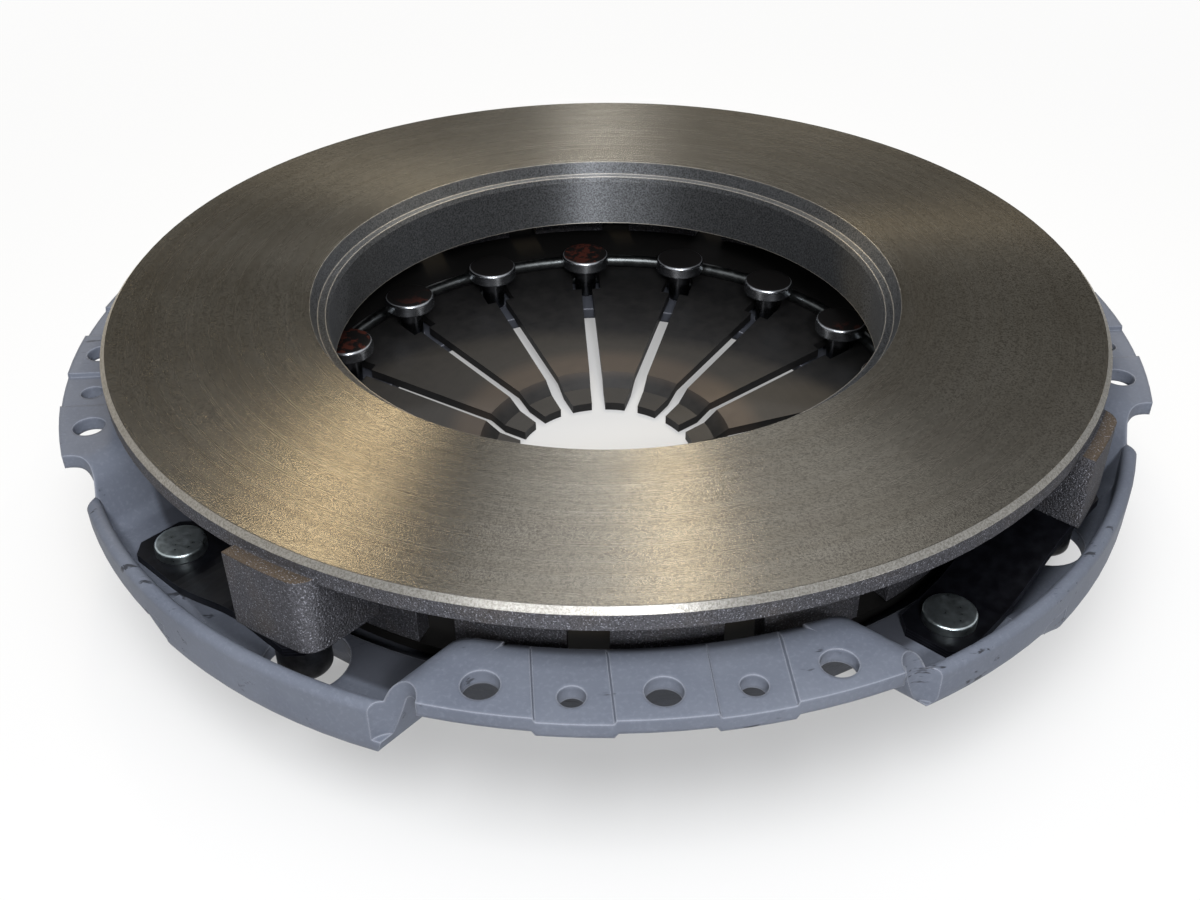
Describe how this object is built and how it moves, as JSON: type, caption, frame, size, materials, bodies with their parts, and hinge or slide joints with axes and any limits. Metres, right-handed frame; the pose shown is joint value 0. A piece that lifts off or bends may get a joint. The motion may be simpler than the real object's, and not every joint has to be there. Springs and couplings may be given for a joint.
{
  "type": "clutch cover assembly",
  "caption": "Diaphragm-spring clutch cover assembly: a cast pressure plate in a stamped cover, hung on drive straps, with a finger spring between pivot rings.",
  "frame": {"origin": "on the clutch axis, in the plane where the cover's large-hole pads meet the flywheel", "axes": "+Z along the clutch axis, out of the friction face towards the flywheel; +X through the middle of one pad"},
  "size_m": [0.402, 0.402, 0.0838],
  "materials": {
    "cover_paint": "satin phosphated sheet",
    "cast_iron": "cast, with a fine-turned friction face",
    "spring_steel": "oiled, dark",
    "bright_steel": "bright drawn wire",
    "rivet_steel": "plain, lightly stained",
    "zinc_rivet": "zinc plated",
    "black_steel": "blackened, glossy"
  },
  "bodies": {
    "cover": {"cover": "cover_paint", "diaphragm_spring": "spring_steel", "pivot_ring_upper": "bright_steel", "pivot_ring_lower": "bright_steel", "pivot_rivets": "rivet_steel", "cover_strap_rivets": "zinc_rivet", "strap_1_leaf_1": "black_steel", "strap_1_leaf_2": "black_steel", "strap_1_leaf_3": "black_steel", "strap_2_leaf_1": "black_steel", "strap_2_leaf_2": "black_steel", "strap_2_leaf_3": "black_steel", "strap_3_leaf_1": "black_steel", "strap_3_leaf_2": "black_steel", "strap_3_leaf_3": "black_steel", "strap_4_leaf_1": "black_steel", "strap_4_leaf_2": "black_steel", "strap_4_leaf_3": "black_steel"},
    "pressure_plate": {"pressure_plate": "cast_iron", "lug_strap_rivets": "rivet_steel"}
  },
  "joints": [
    {"name": "plate_travel", "type": "slide", "parent": "cover", "child": "pressure_plate", "axis": [0, 0, 1], "range_m": [-0.008, 0], "stiffness_N_per_m": 500000, "springref_m": 0.001, "deforming": ["diaphragm_spring", "strap_1_leaf_1", "strap_1_leaf_2", "strap_1_leaf_3", "strap_2_leaf_1", "strap_2_leaf_2", "strap_2_leaf_3", "strap_3_leaf_1", "strap_3_leaf_2", "strap_3_leaf_3", "strap_4_leaf_1", "strap_4_leaf_2", "strap_4_leaf_3"]}
  ]
}
